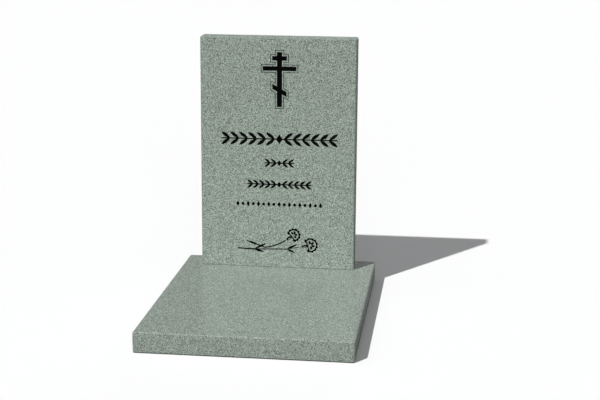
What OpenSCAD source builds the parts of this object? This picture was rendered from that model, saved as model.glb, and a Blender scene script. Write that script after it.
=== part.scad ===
// Grave monument of two polished granite slabs: a flat slab that lies on the ground and
// an upright stele that stands on it, near the rear edge, on two steel dowels and a thin
// bed of stone adhesive. The stele's front is engraved, and the engraving is painted black.
//
// Frame, in millimetres: +X to the right of a person who faces the stele, +Y to the back,
// +Z up. The origin is the middle of the flat slab's underside.

/* [Base slab] */
// Width of the slab that lies on the ground
slab_w = 500; // [400:5:900]
// Depth of that slab, front to back
slab_d = 660; // [300:5:2000]
// Thickness of that slab
slab_t = 50; // [40:1:120]

/* [Stele] */
// Width of the upright stele
stele_w = 400; // [330:5:700]
// Height of the stele, from its foot to its top
stele_h = 600; // [450:5:1200]
// Thickness of the stele
stele_t = 50; // [40:1:120]
// Part of the base slab that shows behind the stele
rear_margin = 40; // [5:1:150]

/* [Edges] */
// Leg of the 45 degree chamfer along the upright and the top edges
chamfer = 3; // [1:0.5:8]
// Leg of the 45 degree chamfer along the lower edges of the base slab
foot_chamfer = 3; // [0.5:0.5:6]

/* [Setting] */
// Thickness of the adhesive bed under the stele
bed_t = 1; // [0.5:0.5:4]
// Set-back of the adhesive bed from the faces of the stele
bed_inset = 2; // [1:0.5:10]
// Diameter of the steel dowels
dowel_d = 12; // [8:1:16]
// Distance between the two dowels
dowel_spacing = 200; // [100:5:300]
// Length of dowel inside the stele
dowel_in_stele = 50; // [30:5:120]
// Stone left below the dowels in the base slab
dowel_cover = 15; // [10:1:25]
// Gap around a dowel in its hole
dowel_gap = 0.5; // [0.2:0.1:1.5]

/* [Engraving] */
// Depth of the engraving below the stele's face
engraving_depth = 2; // [1:0.25:4]
// Thickness of the black paint on the floor of the engraving
paint_t = 0.5; // [0.2:0.1:0.8]
// Shift of the whole engraving to the right of the stele's middle
engraving_shift = 4; // [-10:0.5:10]
// Width of the engraved stems
line_w = 3.2; // [2:0.1:3.4]
// Greatest width of the engraved edge of a petal
petal_line_w = 5.4; // [3.6:0.1:5.8]

/* [Layout] */
// Clear stone above the cross
top_margin = 37; // [20:1:80]
// Clear stone below the carnations
foot_margin = 39; // [20:1:80]
// Clear stone between the cross and the wide band, in row gaps
cross_gap_share = 1.8; // [0.5:0.1:4]
// Clear stone between the bead row and the carnations, in row gaps
flower_gap_share = 1.6; // [0.5:0.1:4]

/* [Cross] */
// Height of the eight-pointed cross
cross_h = 140; // [120:1:160]
// Width of its upright beam
cross_beam_w = 13.2; // [8:0.2:14]
// Thickness of its two level bars
cross_bar_t = 11.2; // [6:0.2:12]
// Length of the short top bar
top_bar_len = 37.5; // [30:0.5:44]
// Distance from the top of the cross to the middle of the short top bar
top_bar_drop = 15.8; // [13:0.2:17]
// Length of the main bar
main_bar_len = 86; // [70:1:120]
// Distance from the top of the cross to the middle of the main bar
main_bar_drop = 42; // [40:0.5:50]
// Width that the slanted foot bar spans
foot_bar_span = 36.5; // [30:0.5:48]
// Fall of the slanted foot bar over that width
foot_bar_fall = 20.4; // [10:0.2:24]
// Upright thickness of the slanted foot bar
foot_bar_t = 13; // [8:0.5:14]
// Distance from the top of the cross to the middle of the slanted foot bar
foot_bar_drop = 97.6; // [90:0.1:100]
// Clear stone between the cross and the line around it
border_gap = 3.4; // [2.5:0.1:4.5]
// Width of the line around the cross
border_w = 1.6; // [0.8:0.1:2]

/* [Laurel bands] */
// Length of a leaf on the wide band
wide_leaf_len = 29; // [20:1:34]
// Pairs of leaves on each half of the wide band
wide_pairs = 6; // [2:1:6]
// Length of a leaf on the two small bands
small_leaf_len = 19; // [14:1:22]
// Pairs of leaves on each half of the short band
short_pairs = 2; // [1:1:4]
// Pairs of leaves on each half of the middle band
middle_pairs = 5; // [2:1:8]
// Angle of a leaf to its band
leaf_angle = 36; // [25:1:50]

/* [Bead row] */
// Diameter of a bead
bead_d = 8; // [5:0.5:10]
// Clear stone between a bead and the next lozenge
bead_gap = 5; // [3:0.5:6.5]
// Beads on each side of the middle
bead_count = 4; // [1:1:5]
// Width of the lozenges between the beads
lozenge_w = 9; // [6:0.5:11]
// Height of those lozenges
lozenge_h = 15; // [10:0.5:18]

/* [Carnations] */
// Radius of the lower flower, to the middle of its petals
lower_flower_r = 15.5; // [13:0.5:17]
// Radius of the upper flower, to the middle of its petals
upper_flower_r = 14; // [11:0.5:16]
// Petals of a flower
petal_count = 9; // [7:1:11]
// Length of the cup under a flower
cup_len = 17.5; // [13:0.5:19]
// Width of that cup
cup_w = 8.5; // [5:0.5:9]
// Width of the narrow leaves and of the cut end of the upper stem
narrow_leaf_w = 5.6; // [4:0.2:7]

/* [Hidden] */
$fn = 96;

// Colours as the stone, the paint and the metal show them
granite = [0.57, 0.62, 0.57];
black_paint = [0.03, 0.03, 0.03];
adhesive_grey = [0.27, 0.28, 0.27];
dowel_steel = [0.66, 0.67, 0.68];

// How far a cutting tool runs past the face that it starts from
overcut = 1;

// Places of the stones and of the dowels
stele_back_y = slab_d / 2 - rear_margin;
stele_mid_y = stele_back_y - stele_t / 2;
stele_front_y = stele_back_y - stele_t;
stele_foot_z = slab_t + bed_t;
dowel_foot_z = dowel_cover;
dowel_top_z = stele_foot_z + dowel_in_stele;
dowel_hole_d = dowel_d + 2 * dowel_gap;

// A laurel leaf's width and its distance from the next, and the lozenge's width in the
// middle of a band, as shares of the leaf's length
leaf_width_share = 0.3;
leaf_pitch_share = 0.8;
lozenge_share = 0.62;

// A flower: the arc that its petals spread over, and what is inside them, as shares of its
// radius
petal_span = 240;
petal_step = petal_span / (petal_count - 1);
petal_overlap = 1.2;
cup_to_middle_share = 0.51;
// Turn of a flower on its cup
head_tilt = 5;
// Stone left between the end of a stem and the cup
cup_gap = 0.6;
drop_count = 4;
drop_span = 180;
drop_circle_share = 0.46;
drop_len_share = 0.62;
drop_slimness = 0.65;
vein_angles = [-48, 0, 48];
vein_len_share = 0.4;
vein_slimness = 0.2;

// The carnation stems, as points [x, height above the lower stem's start]: the lower one is
// straight from node to node and gets thinner, as shares of the line's width; the upper one
// is straight to its bend, thicker at its cut end, and goes on in an arc with a sag
lower_stem = [[-109, 0], [-66, -1.3], [20, 1.5], [57, 8.5]];
lower_stem_w_shares = [1.2, 0.86, 0.52];
upper_stem = [[-88, 22.2], [-37, 4.2], [18, 25]];
upper_stem_sag = 3.4;
stub_share = 0.75;
// Diameter of a stem's nodes, in widths of the stem before them
node_share = 1.3;
// How far a flower's straight edges run into its petals
edge_lap = 1.6;
// Reach of the leaves from the two nodes of the lower stem
leaves_up = [[34, 17], [29.5, 14.5]];
leaves_down = [[27.5, -7], [22.5, -9]];

// An arc from p to q that hangs below its chord by sag: its radius and its direction at q.
function arc_r(p, q, sag) = norm(q - p) ^ 2 / (8 * sag) + sag / 2;
function chord_angle(p, q) = atan2(q.y - p.y, q.x - p.x);
function arc_end_angle(p, q, sag) = chord_angle(p, q) + asin(norm(q - p) / 2 / arc_r(p, q, sag));
function turned(v, a) = [v.x * cos(a) - v.y * sin(a), v.x * sin(a) + v.y * cos(a)];
lower_end_angle = chord_angle(lower_stem[2], lower_stem[3]);
upper_end_angle = arc_end_angle(upper_stem[1], upper_stem[2], upper_stem_sag);

// A flower's petals, for its radius, and the middle of the flower at the end of a stem.
function petal_r(r) = petal_overlap * r * sin(petal_step / 2);
function petal_angle(i) = i * petal_step - petal_span / 2;
function petal_middle(r, i) = r * [cos(petal_angle(i)), sin(petal_angle(i))];
function flower_middle(stem_end, angle, r) =
    stem_end + turned([cup_gap + cup_len, 0], angle)
    + turned([r * cup_to_middle_share, 0], angle + head_tilt);

// Heights that the motifs take up on the stele's face
function band_h(leaf_len) = 2 * leaf_len * sin(leaf_angle);
border_reach = border_gap + border_w;
bead_row_h = max(bead_d, lozenge_h);
flowers_top = flower_middle(upper_stem[2], upper_end_angle, upper_flower_r).y
    + upper_flower_r + petal_r(upper_flower_r);
flowers_bottom = min(
    flower_middle(lower_stem[3], lower_end_angle, lower_flower_r).y
        - lower_flower_r - petal_r(lower_flower_r),
    lower_stem[1].y + leaves_down[0].y,
    lower_stem[2].y + leaves_down[1].y
);
motifs_h = cross_h + border_reach + band_h(wide_leaf_len) + 2 * band_h(small_leaf_len) + bead_row_h
    + flowers_top - flowers_bottom;

// The stone left free between the motifs is shared out, with three row gaps between the
// bands and the bead row
row_gap = (stele_h - top_margin - foot_margin - motifs_h) / (cross_gap_share + 3 + flower_gap_share);

// Heights of the motifs above the stele's foot
cross_top = stele_h - top_margin;
wide_band_mid = cross_top - cross_h - border_reach - cross_gap_share * row_gap - band_h(wide_leaf_len) / 2;
short_band_mid = wide_band_mid - band_h(wide_leaf_len) / 2 - row_gap - band_h(small_leaf_len) / 2;
middle_band_mid = short_band_mid - row_gap - band_h(small_leaf_len);
bead_row_mid = middle_band_mid - band_h(small_leaf_len) / 2 - row_gap - bead_row_h / 2;
stem_base = foot_margin - flowers_bottom;

// A rectangle about the origin with its four corners cut at 45 degrees.
module cut_corner_rectangle(w, d, c) {
    x = w / 2;
    y = d / 2;
    polygon([
        [-x + c, -y], [x - c, -y], [x, -y + c], [x, y - c],
        [x - c, y], [-x + c, y], [-x, y - c], [-x, -y + c]
    ]);
}

// The outline of a block seen from one side, from its foot up, with the top corners cut and,
// where foot_c is more than 0, the lower corners too.
module cut_profile(w, h, c, foot_c) {
    x = w / 2;
    cut_foot = [[-x, foot_c], [-x + foot_c, 0], [x - foot_c, 0], [x, foot_c]];
    foot = foot_c > 0 ? cut_foot : [[-x, 0], [x, 0]];
    polygon(concat(foot, [[x, h - c], [x - c, h], [-x + c, h], [-x, h - c]]));
}

// A sawn and polished block that stands on z = 0, with chamfers on its upright and top edges
// and, where foot_c is more than 0, on its lower edges.
module chamfered_block(w, d, h, c, foot_c = 0) {
    intersection() {
        linear_extrude(h) cut_corner_rectangle(w, d, c);
        translate([0, d / 2, 0]) rotate([90, 0, 0]) linear_extrude(d) cut_profile(w, h, c, foot_c);
        translate([-w / 2, 0, 0]) rotate([90, 0, 90]) linear_extrude(w) cut_profile(d, h, c, foot_c);
    }
}

// The places of the dowels, on the stele's middle plane.
module at_dowels(sides = [-1, 1]) {
    for (side = sides)
        translate([side * dowel_spacing / 2, stele_mid_y, 0]) children();
}

// The holes that the dowels sit in, through the slab's top, the bed and the stele's foot.
module dowel_holes() {
    at_dowels()
        translate([0, 0, dowel_foot_z])
            cylinder(d = dowel_hole_d, h = dowel_top_z - dowel_foot_z + dowel_gap);
}

// A drawing on the stele's face, raised from the floor of the engraving by height.
// In the drawing, x runs from the stele's middle and y from the stele's foot.
module on_engraving_floor(height) {
    translate([engraving_shift, stele_front_y + engraving_depth, stele_foot_z])
        rotate([90, 0, 0])
            linear_extrude(height) children();
}

// A leaf or petal from the origin along +X: two arcs that meet in a point at each end.
module leaf(len, w) {
    r = (len * len + w * w) / (4 * w);
    translate([len / 2, 0])
        intersection() {
            translate([0, r - w / 2]) circle(r, $fn = 360);
            translate([0, w / 2 - r]) circle(r, $fn = 360);
        }
}

// A leaf from one point to another.
module leaf_between(p, q, w) {
    translate(p) rotate(chord_angle(p, q)) leaf(norm(q - p), w);
}

// An engraved arc from one point to another, which hangs below its chord by sag.
module arc_line(p, q, sag, w) {
    chord = norm(q - p);
    r = arc_r(p, q, sag);
    translate(p) rotate(chord_angle(p, q))
        intersection() {
            translate([chord / 2, r - sag])
                difference() {
                    circle(r + w / 2, $fn = 720);
                    circle(r - w / 2, $fn = 720);
                }
            translate([0, -sag - w]) square([chord, sag + 2 * w]);
        }
}

// A straight engraved line from one point to another, and some way past it.
module straight_line(p, q, w, past = 0) {
    translate(p) rotate(chord_angle(p, q)) translate([0, -w / 2]) square([norm(q - p) + past, w]);
}

// A lozenge about the origin.
module lozenge(w, h) {
    polygon([[-w / 2, 0], [0, -h / 2], [w / 2, 0], [0, h / 2]]);
}

// A level bar of the cross, grown on every side.
module cross_bar(len, drop, grow) {
    translate([0, cross_top - drop])
        square([len + 2 * grow, cross_bar_t + 2 * grow], center = true);
}

// The eight-pointed cross, grown on every side with sharp corners.
module cross_shape(grow = 0) {
    slope = atan(foot_bar_fall / foot_bar_span);
    x = foot_bar_span / 2 + grow;
    fall = x * tan(slope);
    half_t = foot_bar_t / 2 + grow / cos(slope);
    translate([0, cross_top - cross_h / 2])
        square([cross_beam_w + 2 * grow, cross_h + 2 * grow], center = true);
    cross_bar(top_bar_len, top_bar_drop, grow);
    cross_bar(main_bar_len, main_bar_drop, grow);
    translate([0, cross_top - foot_bar_drop])
        polygon([[-x, fall - half_t], [x, -fall - half_t], [x, half_t - fall], [-x, half_t + fall]]);
}

// The thin line that follows the cross's outline.
module cross_border_shape() {
    difference() {
        cross_shape(border_reach);
        cross_shape(border_gap);
    }
}

// A band of laurel leaves: pairs on a level stem, from the middle outwards, and a lozenge.
module laurel_band(mid, leaf_len, pairs) {
    pitch = leaf_len * leaf_pitch_share;
    reach = pitch * (pairs - 0.5) + leaf_len * cos(leaf_angle);
    middle_w = leaf_len * lozenge_share;
    translate([0, mid]) {
        square([2 * reach, line_w], center = true);
        lozenge(middle_w, middle_w * 1.4);
        for (side = [0, 180], i = [0:pairs - 1], turn = [-leaf_angle, leaf_angle])
            rotate(side) translate([pitch * (i + 0.5), 0]) rotate(turn)
                leaf(leaf_len, leaf_len * leaf_width_share);
    }
}

module wide_band_shape() {
    laurel_band(wide_band_mid, wide_leaf_len, wide_pairs);
}

module short_band_shape() {
    laurel_band(short_band_mid, small_leaf_len, short_pairs);
}

module middle_band_shape() {
    laurel_band(middle_band_mid, small_leaf_len, middle_pairs);
}

// A row of beads with lozenges between them, from the middle outwards.
module bead_row_shape() {
    pitch = (bead_d + lozenge_w) / 2 + bead_gap;
    translate([0, bead_row_mid]) {
        lozenge(lozenge_w, lozenge_h);
        for (side = [-1, 1], i = [1:bead_count]) {
            translate([side * (2 * i - 1) * pitch, 0]) circle(d = bead_d);
            translate([side * 2 * i * pitch, 0]) lozenge(lozenge_w, lozenge_h);
        }
    }
}

// The petals of a flower as discs, whose middles lie on an arc about the origin.
module petals(r) {
    for (i = [0:petal_count - 1])
        translate(petal_middle(r, i)) circle(petal_r(r));
}

// The outline of a flower about the origin: the petals' outer edges, and the two straight
// edges that lead back to the mouth of the cup.
module flower_outline(r) {
    mouth = [-r * cup_to_middle_share, 0];
    inner_r = r + petal_r(r) - petal_line_w;
    difference() {
        petals(r);
        polygon([mouth, for (i = [0:petal_count - 1]) petal_middle(inner_r, i)]);
    }
    for (i = [0, petal_count - 1])
        straight_line(mouth, petal_middle(inner_r, i), line_w, edge_lap);
}

// The dark drops between the petals of a flower about the origin.
module flower_drops(r) {
    len = r * drop_len_share;
    for (i = [0:drop_count - 1])
        rotate((i / (drop_count - 1) - 0.5) * drop_span)
            translate([r * drop_circle_share - len / 2, 0]) leaf(len, len * drop_slimness);
}

// The cup under a flower, with a pale slit along it, and the veins from its mouth.
module flower_cup(r) {
    vein_len = r * vein_len_share;
    difference() {
        leaf(cup_len + line_w, cup_w);
        translate([cup_len * 0.3, -cup_w * 0.16]) leaf(cup_len * 0.55, cup_w * 0.3);
    }
    for (turn = vein_angles)
        translate([cup_len, 0]) rotate(turn) leaf(vein_len, vein_len * vein_slimness);
}

// A carnation's flower at the end of its stem, in the direction of the stem there.
module carnation_head(stem_end, angle, r) {
    translate(stem_end) rotate(angle) translate([cup_gap, 0]) {
        flower_cup(r);
        translate([cup_len, 0]) rotate(head_tilt) translate([r * cup_to_middle_share, 0]) {
            flower_outline(r);
            flower_drops(r);
        }
    }
}

// Both flowers.
module carnation_heads_shape() {
    translate([0, stem_base]) {
        carnation_head(lower_stem[3], lower_end_angle, lower_flower_r);
        carnation_head(upper_stem[2], upper_end_angle, upper_flower_r);
    }
}

// The lower carnation's stem with a pair of leaves at each of its two nodes.
module lower_stem_shape() {
    for (i = [0:2])
        straight_line(lower_stem[i], lower_stem[i + 1], line_w * lower_stem_w_shares[i]);
    for (i = [0, 1]) {
        translate(lower_stem[i + 1]) circle(d = node_share * line_w * lower_stem_w_shares[i]);
        for (reach = [leaves_up[i], leaves_down[i]])
            leaf_between(lower_stem[i + 1], lower_stem[i + 1] + reach, narrow_leaf_w);
    }
}

// The upper carnation's bare stem, which crosses the lower one.
module upper_stem_shape() {
    stub = upper_stem[0] + stub_share * (upper_stem[1] - upper_stem[0]);
    leaf_between(upper_stem[0], stub, narrow_leaf_w);
    straight_line((upper_stem[0] + stub) / 2, upper_stem[1], line_w);
    translate(upper_stem[1]) circle(d = node_share * line_w);
    arc_line(upper_stem[1], upper_stem[2], upper_stem_sag, line_w);
}

// Both stems.
module carnation_stems_shape() {
    translate([0, stem_base]) {
        lower_stem_shape();
        upper_stem_shape();
    }
}

// A recess in the stele's face.
module engraved() {
    on_engraving_floor(engraving_depth + overcut) children();
}

// Black paint on the floor of a recess.
module painted() {
    color(black_paint) on_engraving_floor(paint_t) children();
}

module base_slab() {
    color(granite)
        difference() {
            chamfered_block(slab_w, slab_d, slab_t, chamfer, foot_chamfer);
            dowel_holes();
        }
}

module stele() {
    color(granite)
        difference() {
            translate([0, stele_mid_y, stele_foot_z])
                chamfered_block(stele_w, stele_t, stele_h, chamfer);
            dowel_holes();
            engraved() cross_shape();
            engraved() cross_border_shape();
            engraved() wide_band_shape();
            engraved() short_band_shape();
            engraved() middle_band_shape();
            engraved() bead_row_shape();
            engraved() carnation_heads_shape();
            engraved() carnation_stems_shape();
        }
}

module adhesive_bed() {
    color(adhesive_grey)
        difference() {
            translate([0, stele_mid_y, slab_t + bed_t / 2])
                cube([stele_w - 2 * bed_inset, stele_t - 2 * bed_inset, bed_t], center = true);
            dowel_holes();
        }
}

module dowel(side) {
    color(dowel_steel)
        at_dowels([side])
            translate([0, 0, dowel_foot_z])
                cylinder(d = dowel_d, h = dowel_top_z - dowel_foot_z);
}

base_slab();
stele();
adhesive_bed();
dowel(-1);  // dowel_left
dowel(1);  // dowel_right
painted() cross_shape();  // cross_paint
painted() cross_border_shape();  // cross_border_paint
painted() wide_band_shape();  // laurel_band_1_paint
painted() short_band_shape();  // laurel_band_2_paint
painted() middle_band_shape();  // laurel_band_3_paint
painted() bead_row_shape();  // bead_row_paint
painted() carnation_heads_shape();  // carnation_heads_paint
painted() carnation_stems_shape();  // carnation_stems_paint
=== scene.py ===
import math
import random

import bpy
from mathutils import Matrix, Vector


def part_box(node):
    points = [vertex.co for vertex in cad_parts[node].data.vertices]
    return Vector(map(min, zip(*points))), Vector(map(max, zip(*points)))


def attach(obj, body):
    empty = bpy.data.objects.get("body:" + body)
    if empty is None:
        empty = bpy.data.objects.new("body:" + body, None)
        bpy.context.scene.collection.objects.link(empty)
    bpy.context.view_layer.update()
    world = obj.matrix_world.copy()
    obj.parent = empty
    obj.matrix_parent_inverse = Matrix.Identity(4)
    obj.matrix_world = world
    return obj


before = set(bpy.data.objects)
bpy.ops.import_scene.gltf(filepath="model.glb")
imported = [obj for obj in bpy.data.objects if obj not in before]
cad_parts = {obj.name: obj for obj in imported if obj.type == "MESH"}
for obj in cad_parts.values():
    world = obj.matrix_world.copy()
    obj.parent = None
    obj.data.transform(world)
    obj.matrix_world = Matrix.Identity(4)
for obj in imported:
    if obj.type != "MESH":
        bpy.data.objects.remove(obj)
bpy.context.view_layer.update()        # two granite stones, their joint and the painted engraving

MM = 0.001
FULL_TURN = 2 * math.pi

# Camera, fitted to the edges of the two stones in the photograph
CAMERA_AT = (0.46497, -3.16237, 1.02682)
CAMERA_YAW = 0.11891
CAMERA_PITCH = 0.22781
CAMERA_ROLL = 0.00672
CAMERA_SENSOR_MM = 36
CAMERA_LENS_MM = 81.654

# Light, in levels as a white card shows them: a key from the front left, a faint fill from
# the front, a low lamp from behind, and a dome that is brighter above than at its horizon
KEY_FROM = (-0.393, -0.572, 0.720)
KEY_LEVEL = 1.01
KEY_SOFTNESS = math.radians(1.0)
FILL_FROM = (0.131, -0.956, 0.259)
FILL_LEVEL = 0.155
FILL_SOFTNESS = math.radians(30)
BACK_FROM = (0.06, 0.998, 0.03)
BACK_LEVEL = 0.20
BACK_SOFTNESS = math.radians(20)
DOME_HORIZON = (0.064, 0.072, 0.083, 1)
DOME_ZENITH = (0.283, 0.283, 0.283, 1)

# Floor: white to the eye, darker in what it throws back on the stones
FLOOR_HALF = 60.0
FLOOR_DROP = 0.2 * MM
FLOOR_SEEN = (1.0, 1.0, 1.0, 1)
FLOOR_BOUNCE = (0.03, 0.03, 0.03, 1)

# Noise patterns: their octaves where they are soft or fine, and the mean of their colours
SOFT = 2.0
FINE = 3.0
NOISE_MEAN = (0.5, 0.5, 0.5)

# Granite: its mean colour, its minerals as (first share, brightness), and its grain
STONE = (0.316, 0.369, 0.322)
MINERALS = ((0.00, 0.10), (0.12, 0.67), (0.38, 1.00), (0.70, 1.53), (0.92, 1.98))
CRYSTAL = 1.1 * MM
CRYSTAL_TONES = (0.92, 1.08)
CRYSTAL_BEND = 0.4 * MM
CRYSTAL_BEND_LENGTH = 3 * CRYSTAL
FLECK = 1.2 * MM
FLECK_SHARE = 0.03
FLECK_COLOUR = (0.045, 0.052, 0.047, 1)
CLOUD = 120 * MM
CLOUD_TONES = (0.98, 1.02)
GRANITE_IOR = 1.54

# Places in the block that the stones are cut from, so that their grain differs
SLAB_CUT_FROM = (1.7, 0.4, 0.9)
STELE_CUT_FROM = (0.0, 2.3, 0.2)

# Finish of the stones: one side polished, the opposite side sawn and paler, the rest honed.
# The grain is faded on all but the polished side
SLAB_GLOSS = 0.28
STELE_GLOSS = 0.08
POLISHED_ROUGHNESS = 0.16
FLECK_ROUGHNESS = 2 * POLISHED_ROUGHNESS
HONED_ROUGHNESS = 0.62
SAWN_ROUGHNESS = 0.78
POLISHED_RELIEF = 0.004 * MM
HONED_RELIEF = 0.03 * MM
SAWN_RELIEF = 0.12 * MM
SAWN_PALER = 1.12
HONED_FADE = 0.15
HONED_TONE = 0.60

# Chamfers: painted shade makes them darker than the faces beside them, and painted light makes them
# paler the more they turn to the right
CHAMFER_PAINTED_SHADE = 0.88
CHAMFER_PAINTED_LIGHT = 1.0

# Saw marks: arcs round a far centre. A wave texture turns by 20 radians in a unit of length
SAW_PITCH = 4 * MM
SAW_CENTRE = (-1.1, 0, -1.1)
SAW_WANDER = 0.8
WAVE_RADIANS = 20

# Engraving: how far inside its stone's box it keeps, clear of the chamfers and the front
ENGRAVING_INSET = Vector((8, 0.05, 8)) * MM

# Paint on the floor of the engraving
PAINT_DARK = (0.001, 0.001, 0.001, 1)
PAINT_PALE = (0.003, 0.003, 0.003, 1)
PAINT_GLOSS = 0.02
PAINT_ROUGHNESS = (0.55, 0.8)
PAINT_PATCH = 14 * MM
PAINT_SPECKLE = 1.1 * MM
PAINT_RELIEF = 0.06 * MM

# Adhesive in the joint
ADHESIVE_DARK = (0.14, 0.16, 0.14, 1)
ADHESIVE_PALE = (0.30, 0.34, 0.30, 1)
ADHESIVE_ROUGHNESS = (0.5, 0.75)
ADHESIVE_MOTTLE = 5 * MM
ADHESIVE_RELIEF = 0.3 * MM

# Steel of the dowels, with its pattern drawn out along their length
STEEL_DARK = (0.42, 0.43, 0.45, 1)
STEEL_PALE = (0.62, 0.63, 0.64, 1)
STEEL_ROUGHNESS = (0.28, 0.45)
STEEL_LINE = 0.8 * MM
STEEL_DRAWN = (1, 1, 0.04)
STEEL_RELIEF = 0.02 * MM

# Adhesive squeezed out of the joint: how far, in waves of (length, share), the steps and corner
# turns along it, its gap to the stones, and the share of its reach where it starts to round off
SQUEEZE_MIN = 0.6 * MM
SQUEEZE_MAX = 1.9 * MM
SQUEEZE_WAVES = ((37 * MM, 0.4), (17 * MM, 0.35), (7 * MM, 0.25))
SQUEEZE_SEED = 7
SQUEEZE_STEP = 2 * MM
SQUEEZE_TURNS = (math.radians(30), math.radians(60))
SQUEEZE_GAP = 0.03 * MM
SQUEEZE_SHOULDER = 0.8

# Directions of the polished and the sawn sides, and the least cosine that counts as facing one
UP = (0, 0, 1)
DOWN = (0, 0, -1)
FRONT = (0, -1, 0)
BACK = (0, 1, 0)
FACING = 0.9

PAINT_NODES = [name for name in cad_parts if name.endswith("_paint")]
DOWEL_NODES = [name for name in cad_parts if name.startswith("dowel_")]


# Node helpers

def add(tree, kind, inputs=None, **settings):
    """A new node, with its settings made and its inputs set or linked."""
    made = tree.nodes.new(kind)
    for name, value in settings.items():
        setattr(made, name, value)
    for key, value in (inputs or {}).items():
        if isinstance(value, bpy.types.NodeSocket):
            tree.links.new(value, made.inputs[key])
        else:
            made.inputs[key].default_value = value
    return made


def calc(tree, operation, a, b):
    return add(tree, "ShaderNodeMath", {0: a, 1: b}, operation=operation).outputs[0]


def vector_calc(tree, operation, a, b):
    return add(tree, "ShaderNodeVectorMath", {0: a, 1: b}, operation=operation).outputs[0]


def split(tree, vector):
    """The X, Y and Z of a vector."""
    return add(tree, "ShaderNodeSeparateXYZ", {0: vector}).outputs


def sizes_of(tree, vector):
    """The X, Y and Z of a vector, without their signs."""
    return split(tree, add(tree, "ShaderNodeVectorMath", {0: vector}, operation="ABSOLUTE").outputs[0])


def mix_value(tree, factor, a, b):
    return add(tree, "ShaderNodeMix", {0: factor, 2: a, 3: b}, data_type="FLOAT").outputs[0]


def mix_colour(tree, factor, a, b, blend="MIX"):
    inputs = {0: factor, 6: a, 7: b}
    return add(tree, "ShaderNodeMix", inputs, data_type="RGBA", blend_type=blend).outputs[2]


def spread(tree, value, low, high):
    """A value from 0 to 1, stretched to low to high."""
    inputs = {"Value": value, "To Min": low, "To Max": high}
    return add(tree, "ShaderNodeMapRange", inputs).outputs[0]


def noise(tree, at, size, detail=SOFT):
    return add(tree, "ShaderNodeTexNoise", {"Vector": at, "Scale": 1 / size, "Detail": detail})


def cells(tree, at, size):
    """Irregular cells of a mean size: a random draw per cell, a second draw, and the distance."""
    voronoi = add(tree, "ShaderNodeTexVoronoi", {"Vector": at, "Scale": 1 / size})
    draws = add(tree, "ShaderNodeSeparateColor", {0: voronoi.outputs["Color"]}).outputs
    return draws[0], draws[1], voronoi.outputs["Distance"]


def stepped_ramp(tree, value, stops):
    node = add(tree, "ShaderNodeValToRGB", {0: value})
    ramp = node.color_ramp
    ramp.interpolation = "CONSTANT"
    while len(ramp.elements) < len(stops):
        ramp.elements.new(1.0)
    for element, (place, colour) in zip(ramp.elements, stops):
        element.position = place
        element.color = colour
    return node.outputs[0]


def object_place(tree):
    """The place on the object in metres, because every CAD node sits at the origin."""
    return add(tree, "ShaderNodeTexCoord").outputs["Object"]


def object_normal(tree):
    return add(tree, "ShaderNodeTexCoord").outputs["Normal"]


def new_material(name, **shader_values):
    """A material, its tree and its shader, with constant values set on the shader's own sockets."""
    material = bpy.data.materials.new(name)
    material.use_nodes = True
    tree = material.node_tree
    shader = tree.nodes["Principled BSDF"]
    for socket, value in shader_values.items():
        shader.inputs[socket.replace("_", " ")].default_value = value
    return material, tree, shader


def connect(tree, shader, colour, roughness, height):
    """Link a colour, a roughness and a relief in metres to a shader."""
    normal = add(tree, "ShaderNodeBump", {"Height": height, "Distance": 1.0}).outputs[0]
    for socket, value in (("Base Color", colour), ("Roughness", roughness), ("Normal", normal)):
        tree.links.new(value, shader.inputs[socket])


# Materials

def facing(tree, direction):
    """1 where the surface faces a direction, 0 elsewhere."""
    inputs = {0: object_normal(tree), 1: direction}
    along = add(tree, "ShaderNodeVectorMath", inputs, operation="DOT_PRODUCT").outputs["Value"]
    return calc(tree, "GREATER_THAN", along, FACING)


def chamfers(tree):
    """1 where the surface is slanted and 0 where it faces along an axis, and the painted light and
    shade on it there.
    """
    normal = object_normal(tree)
    x, y, z = sizes_of(tree, normal)
    largest = calc(tree, "MAXIMUM", calc(tree, "MAXIMUM", x, y), z)
    slanted = calc(tree, "LESS_THAN", largest, FACING)
    # Painted shade darkens every chamfer, and painted light lifts those that face right
    to_right = calc(tree, "MAXIMUM", split(tree, normal)["X"], 0.0)
    return slanted, calc(tree, "ADD", calc(tree, "MULTIPLY", to_right, CHAMFER_PAINTED_LIGHT), CHAMFER_PAINTED_SHADE)


def stone_colour(brightness):
    return (*[brightness * channel for channel in STONE], 1)


def crystals(tree, at):
    """Interlocking crystals with small dark flecks between them: colour, relief and flecks."""
    wander = noise(tree, at, CRYSTAL_BEND_LENGTH).outputs["Color"]
    centred = vector_calc(tree, "SUBTRACT", wander, NOISE_MEAN)
    bent = vector_calc(tree, "ADD", at, vector_calc(tree, "MULTIPLY", centred, (CRYSTAL_BEND,) * 3))
    mineral, tone, distance = cells(tree, bent, CRYSTAL)
    stops = [(first, stone_colour(brightness)) for first, brightness in MINERALS]
    colour = stepped_ramp(tree, mineral, stops)
    toned = mix_colour(tree, 1.0, colour, spread(tree, tone, *CRYSTAL_TONES), "MULTIPLY")
    cloud = spread(tree, noise(tree, at, CLOUD).outputs["Fac"], *CLOUD_TONES)
    clouded = mix_colour(tree, 1.0, toned, cloud, "MULTIPLY")
    fleck = calc(tree, "LESS_THAN", cells(tree, bent, FLECK)[0], FLECK_SHARE)
    return mix_colour(tree, fleck, clouded, FLECK_COLOUR), distance, fleck


def saw_marks(tree, at):
    """Shallow arcs left by a large disc saw."""
    from_centre = vector_calc(tree, "SUBTRACT", at, SAW_CENTRE)
    scale = FULL_TURN / (WAVE_RADIANS * SAW_PITCH)
    rings = {"Vector": from_centre, "Scale": scale, "Distortion": SAW_WANDER}
    wave = add(tree, "ShaderNodeTexWave", rings, wave_type="RINGS", rings_direction="SPHERICAL")
    return wave.outputs["Fac"]


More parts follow.
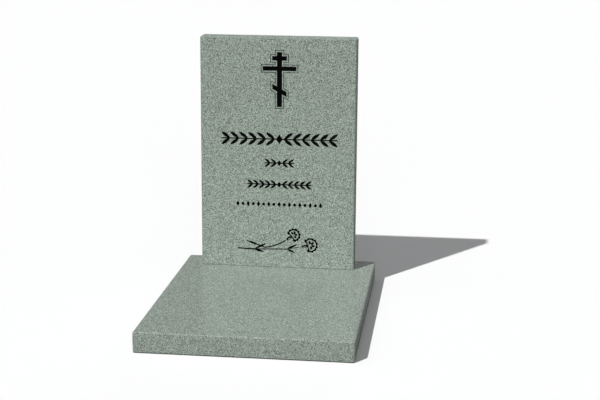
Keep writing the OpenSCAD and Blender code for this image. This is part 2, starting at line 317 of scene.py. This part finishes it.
def inside_face(tree, node):
    """1 behind a stone's front and inside its chamfers, which is on the walls of its engraving."""
    low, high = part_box(node)
    offset = vector_calc(tree, "SUBTRACT", object_place(tree), (low + high) / 2)
    limits = (high - low) / 2 - ENGRAVING_INSET
    inside = 1.0
    for reach, limit in zip(sizes_of(tree, offset), limits):
        inside = calc(tree, "MULTIPLY", inside, calc(tree, "LESS_THAN", reach, limit))
    return inside


def granite(name, cut_from, polished, sawn, gloss, engraved=None):
    """One stone cut from its own place in the block, with its polished and its sawn side."""
    material, tree, shader = new_material(name, IOR=GRANITE_IOR, Specular_IOR_Level=gloss)
    at = vector_calc(tree, "ADD", object_place(tree), cut_from)
    colour, distance, fleck = crystals(tree, at)
    is_polished = facing(tree, polished)
    is_sawn = facing(tree, sawn)

    fade = mix_value(tree, is_polished, HONED_FADE, 0.0)
    faded = mix_colour(tree, fade, colour, stone_colour(HONED_TONE))
    # The chamfers' painted light and shade are multiplied into the stone's colour here
    on_chamfer, chamfer_painted_shading = chamfers(tree)
    tone = mix_value(tree, on_chamfer, mix_value(tree, is_sawn, 1.0, SAWN_PALER), chamfer_painted_shading)
    shown = mix_colour(tree, 1.0, faded, tone, "MULTIPLY")
    if engraved:
        shown = mix_colour(tree, inside_face(tree, engraved), shown, PAINT_PALE)

    shine = spread(tree, fleck, POLISHED_ROUGHNESS, FLECK_ROUGHNESS)
    rough = mix_value(tree, is_polished, HONED_ROUGHNESS, shine)
    roughness = mix_value(tree, is_sawn, rough, SAWN_ROUGHNESS)

    relief = mix_value(tree, is_polished, HONED_RELIEF, POLISHED_RELIEF)
    grain = calc(tree, "MULTIPLY", distance, relief)
    sawing = calc(tree, "MULTIPLY", saw_marks(tree, at), SAWN_RELIEF)
    height = calc(tree, "ADD", grain, calc(tree, "MULTIPLY", is_sawn, sawing))

    connect(tree, shader, shown, roughness, height)
    return material


def black_paint():
    """Matt paint on the blasted floor of the engraving."""
    material, tree, shader = new_material("black_paint_coat", Specular_IOR_Level=PAINT_GLOSS)
    at = object_place(tree)
    speckle = noise(tree, at, PAINT_SPECKLE, FINE).outputs["Fac"]
    patches = noise(tree, at, PAINT_PATCH).outputs["Fac"]
    colour = mix_colour(tree, patches, PAINT_DARK, PAINT_PALE)
    height = calc(tree, "MULTIPLY", speckle, PAINT_RELIEF)
    connect(tree, shader, colour, spread(tree, patches, *PAINT_ROUGHNESS), height)
    return material


def stone_adhesive():
    """Grey bedding adhesive, slightly mottled."""
    material, tree, shader = new_material("adhesive_skin")
    mottle = noise(tree, object_place(tree), ADHESIVE_MOTTLE, FINE).outputs["Fac"]
    colour = mix_colour(tree, mottle, ADHESIVE_DARK, ADHESIVE_PALE)
    height = calc(tree, "MULTIPLY", mottle, ADHESIVE_RELIEF)
    connect(tree, shader, colour, spread(tree, mottle, *ADHESIVE_ROUGHNESS), height)
    return material


def brushed_steel():
    """Drawn steel bar with fine lines along its length."""
    material, tree, shader = new_material("drawn_steel", Metallic=1.0)
    along = vector_calc(tree, "MULTIPLY", object_place(tree), STEEL_DRAWN)
    lines = noise(tree, along, STEEL_LINE, FINE).outputs["Fac"]
    colour = mix_colour(tree, lines, STEEL_DARK, STEEL_PALE)
    height = calc(tree, "MULTIPLY", lines, STEEL_RELIEF)
    connect(tree, shader, colour, spread(tree, lines, *STEEL_ROUGHNESS), height)
    return material


def dress(node, material):
    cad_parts[node].material_slots[0].material = material


# Adhesive squeezed out of the joint

def bed_outline(low, high):
    """Points along the bed's edge and the outward direction at each, with a fan at each corner."""
    corners = [Vector(at) for at in (low.xy, (high.x, low.y), high.xy, (low.x, high.y))]
    route = []
    for i, corner in enumerate(corners):
        following = corners[(i + 1) % len(corners)]
        side = following - corner
        out = Vector((side.y, -side.x)).normalized()
        steps = round(side.length / SQUEEZE_STEP)
        route += [(corner + side * step / steps, out) for step in range(steps + 1)]
        route += [(following, Matrix.Rotation(turn, 2) @ out) for turn in SQUEEZE_TURNS]
    return route


def swell(angle):
    """A smooth wave from 0 to 1."""
    return 0.5 + 0.5 * math.sin(angle)


def squeezed_out(route):
    """How far the adhesive comes out at each point of the route, in uneven waves that close."""
    draw = random.Random(SQUEEZE_SEED)
    length = len(route) * SQUEEZE_STEP
    waves = []
    for wave, share in SQUEEZE_WAVES:
        waves.append((round(length / wave), share, draw.uniform(0, FULL_TURN)))
    for i in range(len(route)):
        turn = FULL_TURN * i / len(route)
        height = sum(share * swell(count * turn + start) for count, share, start in waves)
        yield SQUEEZE_MIN + (SQUEEZE_MAX - SQUEEZE_MIN) * height


def adhesive_rim():
    """An uneven rounded bead round the edge of the bed, between the two stones."""
    low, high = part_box("adhesive_bed")
    top = high.z - SQUEEZE_GAP
    foot = low.z + SQUEEZE_GAP
    middle = (foot + top) / 2
    profile = ((0, foot), (SQUEEZE_SHOULDER, foot), (1, middle), (SQUEEZE_SHOULDER, top), (0, top))
    route = bed_outline(low, high)
    points = []
    for (at, out), reach in zip(route, squeezed_out(route)):
        for share, z in profile:
            edge = at + out * (SQUEEZE_GAP + share * reach)
            points.append((edge.x, edge.y, z))
    wide = len(profile)
    faces = []
    for i in range(len(route)):
        after = (i + 1) % len(route)
        for j in range(wide):
            k = (j + 1) % wide
            faces.append((i * wide + j, after * wide + j, after * wide + k, i * wide + k))
    mesh = bpy.data.meshes.new("adhesive_rim")
    mesh.from_pydata(points, [], faces)
    rim = bpy.data.objects.new("adhesive_rim", mesh)
    bpy.context.scene.collection.objects.link(rim)
    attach(rim, "root")
    return rim


# Stage

def floor_material():
    """White to the camera and in reflections, and darker to the light that it throws back."""
    material = bpy.data.materials.new("floor_white")
    material.use_nodes = True
    tree = material.node_tree
    tree.nodes.clear()
    path = add(tree, "ShaderNodeLightPath").outputs
    seen = calc(tree, "MAXIMUM", path["Is Camera Ray"], path["Is Glossy Ray"])
    seen = calc(tree, "MAXIMUM", seen, path["Is Transmission Ray"])
    colour = mix_colour(tree, seen, FLOOR_BOUNCE, FLOOR_SEEN)
    diffuse = add(tree, "ShaderNodeBsdfDiffuse", {"Color": colour})
    add(tree, "ShaderNodeOutputMaterial", {"Surface": diffuse.outputs[0]})
    return material


def pale_floor():
    corners = ((-1, -1), (1, -1), (1, 1), (-1, 1))
    points = [(x * FLOOR_HALF, y * FLOOR_HALF, -FLOOR_DROP) for x, y in corners]
    mesh = bpy.data.meshes.new("floor")
    mesh.from_pydata(points, [], [(0, 1, 2, 3)])
    mesh.materials.append(floor_material())
    floor = bpy.data.objects.new("floor", mesh)
    bpy.context.scene.collection.objects.link(floor)


def soft_dome():
    """A sky that goes from its horizon's colour to its zenith's."""
    world = bpy.data.worlds.new("dome")
    world.use_nodes = True
    tree = world.node_tree
    direction = add(tree, "ShaderNodeTexCoord").outputs["Generated"]
    height = calc(tree, "MAXIMUM", split(tree, direction)["Z"], 0.0)
    colour = mix_colour(tree, height, DOME_HORIZON, DOME_ZENITH)
    tree.links.new(colour, tree.nodes["Background"].inputs["Color"])
    bpy.context.scene.world = world


def far_lamp(name, comes_from, level, softness):
    """A lamp far away, at a level that a white card facing it shows."""
    light = bpy.data.lights.new(name, "SUN")
    light.energy = math.pi * level
    light.angle = softness
    lamp = bpy.data.objects.new(name, light)
    lamp.rotation_euler = Vector(comes_from).to_track_quat("Z", "Y").to_euler()
    bpy.context.scene.collection.objects.link(lamp)


def photo_camera():
    data = bpy.data.cameras.new("photo")
    data.sensor_width = CAMERA_SENSOR_MM
    data.lens = CAMERA_LENS_MM
    camera = bpy.data.objects.new("photo", data)
    turn = Matrix.Rotation(CAMERA_YAW, 4, "Z")
    tilt = Matrix.Rotation(math.pi / 2 - CAMERA_PITCH, 4, "X")
    roll = Matrix.Rotation(CAMERA_ROLL, 4, "Z")
    camera.matrix_world = Matrix.Translation(CAMERA_AT) @ turn @ tilt @ roll
    bpy.context.scene.collection.objects.link(camera)
    bpy.context.scene.camera = camera


slab_granite = granite("slab_granite", SLAB_CUT_FROM, UP, DOWN, SLAB_GLOSS)
dress("base_slab", slab_granite)
stele_granite = granite("stele_granite", STELE_CUT_FROM, FRONT, BACK, STELE_GLOSS, engraved="stele")
dress("stele", stele_granite)
adhesive = stone_adhesive()
dress("adhesive_bed", adhesive)
adhesive_rim().data.materials.append(adhesive)
paint = black_paint()
for name in PAINT_NODES:
    dress(name, paint)
steel = brushed_steel()
for name in DOWEL_NODES:
    dress(name, steel)

pale_floor()
soft_dome()
far_lamp("key", KEY_FROM, KEY_LEVEL, KEY_SOFTNESS)
far_lamp("fill", FILL_FROM, FILL_LEVEL, FILL_SOFTNESS)
far_lamp("back", BACK_FROM, BACK_LEVEL, BACK_SOFTNESS)
photo_camera()
bpy.context.scene.view_settings.view_transform = "Standard"
